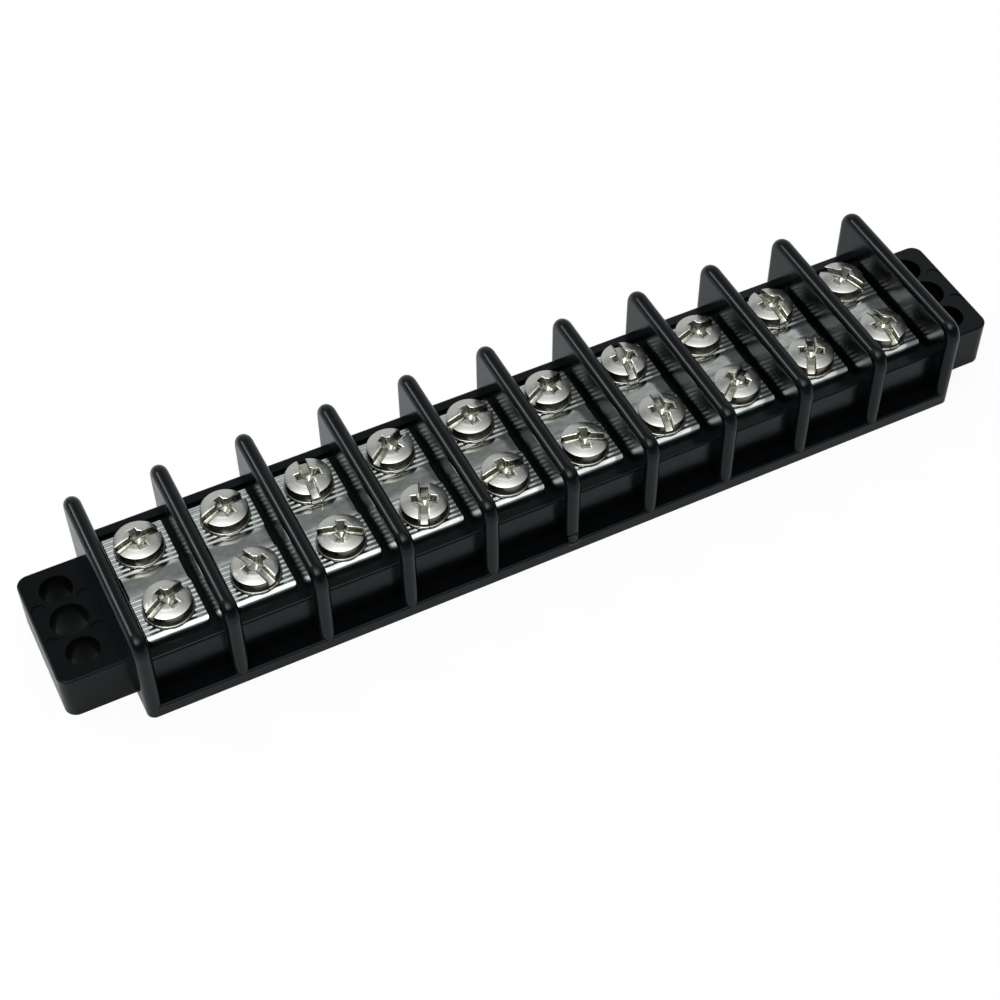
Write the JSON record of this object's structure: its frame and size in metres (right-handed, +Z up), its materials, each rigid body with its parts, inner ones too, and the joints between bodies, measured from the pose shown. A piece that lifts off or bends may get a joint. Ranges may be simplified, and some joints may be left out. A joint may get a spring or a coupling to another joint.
{
  "type": "barrier terminal strip",
  "caption": "Barrier terminal strip: a black moulded housing with upright barriers, plated terminal plates clamped by front and rear screws, and an ear with mounting holes at each end.",
  "frame": {"origin": "middle of the housing's underside, where the two long mid lines cross", "axes": "+X along the row of poles, -Y towards the front, +Z up, out of the screws' heads"},
  "size_m": [0.1676, 0.034, 0.0178],
  "materials": {
    "housing": "glossy black moulded thermoplastic",
    "terminal_plate": "bright tin plate over brass",
    "screw": "nickel plate over steel"
  },
  "bodies": {
    "housing": {"housing": "housing", "terminal_plate_1": "terminal_plate", "terminal_plate_2": "terminal_plate", "terminal_plate_3": "terminal_plate", "terminal_plate_4": "terminal_plate", "terminal_plate_5": "terminal_plate", "terminal_plate_6": "terminal_plate", "terminal_plate_7": "terminal_plate", "terminal_plate_8": "terminal_plate", "terminal_plate_9": "terminal_plate", "terminal_plate_10": "terminal_plate"},
    "screw_front_1": {"screw_front_1": "screw"},
    "screw_front_2": {"screw_front_2": "screw"},
    "screw_front_3": {"screw_front_3": "screw"},
    "screw_front_4": {"screw_front_4": "screw"},
    "screw_front_5": {"screw_front_5": "screw"},
    "screw_front_6": {"screw_front_6": "screw"},
    "screw_front_7": {"screw_front_7": "screw"},
    "screw_front_8": {"screw_front_8": "screw"},
    "screw_front_9": {"screw_front_9": "screw"},
    "screw_front_10": {"screw_front_10": "screw"},
    "screw_rear_1": {"screw_rear_1": "screw"},
    "screw_rear_2": {"screw_rear_2": "screw"},
    "screw_rear_3": {"screw_rear_3": "screw"},
    "screw_rear_4": {"screw_rear_4": "screw"},
    "screw_rear_5": {"screw_rear_5": "screw"},
    "screw_rear_6": {"screw_rear_6": "screw"},
    "screw_rear_7": {"screw_rear_7": "screw"},
    "screw_rear_8": {"screw_rear_8": "screw"},
    "screw_rear_9": {"screw_rear_9": "screw"},
    "screw_rear_10": {"screw_rear_10": "screw"}
  },
  "joints": [
    {"name": "screw_front_1_travel", "type": "slide", "parent": "housing", "child": "screw_front_1", "axis": [0, 0, 1], "range_m": [0, 0.00635]},
    {"name": "screw_front_2_travel", "type": "slide", "parent": "housing", "child": "screw_front_2", "axis": [0, 0, 1], "range_m": [0, 0.00635]},
    {"name": "screw_front_3_travel", "type": "slide", "parent": "housing", "child": "screw_front_3", "axis": [0, 0, 1], "range_m": [0, 0.00635]},
    {"name": "screw_front_4_travel", "type": "slide", "parent": "housing", "child": "screw_front_4", "axis": [0, 0, 1], "range_m": [0, 0.00635]},
    {"name": "screw_front_5_travel", "type": "slide", "parent": "housing", "child": "screw_front_5", "axis": [0, 0, 1], "range_m": [0, 0.00635]},
    {"name": "screw_front_6_travel", "type": "slide", "parent": "housing", "child": "screw_front_6", "axis": [0, 0, 1], "range_m": [0, 0.00635]},
    {"name": "screw_front_7_travel", "type": "slide", "parent": "housing", "child": "screw_front_7", "axis": [0, 0, 1], "range_m": [0, 0.00635]},
    {"name": "screw_front_8_travel", "type": "slide", "parent": "housing", "child": "screw_front_8", "axis": [0, 0, 1], "range_m": [0, 0.00635]},
    {"name": "screw_front_9_travel", "type": "slide", "parent": "housing", "child": "screw_front_9", "axis": [0, 0, 1], "range_m": [0, 0.00635]},
    {"name": "screw_front_10_travel", "type": "slide", "parent": "housing", "child": "screw_front_10", "axis": [0, 0, 1], "range_m": [0, 0.00635]},
    {"name": "screw_rear_1_travel", "type": "slide", "parent": "housing", "child": "screw_rear_1", "axis": [0, 0, 1], "range_m": [0, 0.00635]},
    {"name": "screw_rear_2_travel", "type": "slide", "parent": "housing", "child": "screw_rear_2", "axis": [0, 0, 1], "range_m": [0, 0.00635]},
    {"name": "screw_rear_3_travel", "type": "slide", "parent": "housing", "child": "screw_rear_3", "axis": [0, 0, 1], "range_m": [0, 0.00635]},
    {"name": "screw_rear_4_travel", "type": "slide", "parent": "housing", "child": "screw_rear_4", "axis": [0, 0, 1], "range_m": [0, 0.00635]},
    {"name": "screw_rear_5_travel", "type": "slide", "parent": "housing", "child": "screw_rear_5", "axis": [0, 0, 1], "range_m": [0, 0.00635]},
    {"name": "screw_rear_6_travel", "type": "slide", "parent": "housing", "child": "screw_rear_6", "axis": [0, 0, 1], "range_m": [0, 0.00635]},
    {"name": "screw_rear_7_travel", "type": "slide", "parent": "housing", "child": "screw_rear_7", "axis": [0, 0, 1], "range_m": [0, 0.00635]},
    {"name": "screw_rear_8_travel", "type": "slide", "parent": "housing", "child": "screw_rear_8", "axis": [0, 0, 1], "range_m": [0, 0.00635]},
    {"name": "screw_rear_9_travel", "type": "slide", "parent": "housing", "child": "screw_rear_9", "axis": [0, 0, 1], "range_m": [0, 0.00635]},
    {"name": "screw_rear_10_travel", "type": "slide", "parent": "housing", "child": "screw_rear_10", "axis": [0, 0, 1], "range_m": [0, 0.00635]}
  ]
}
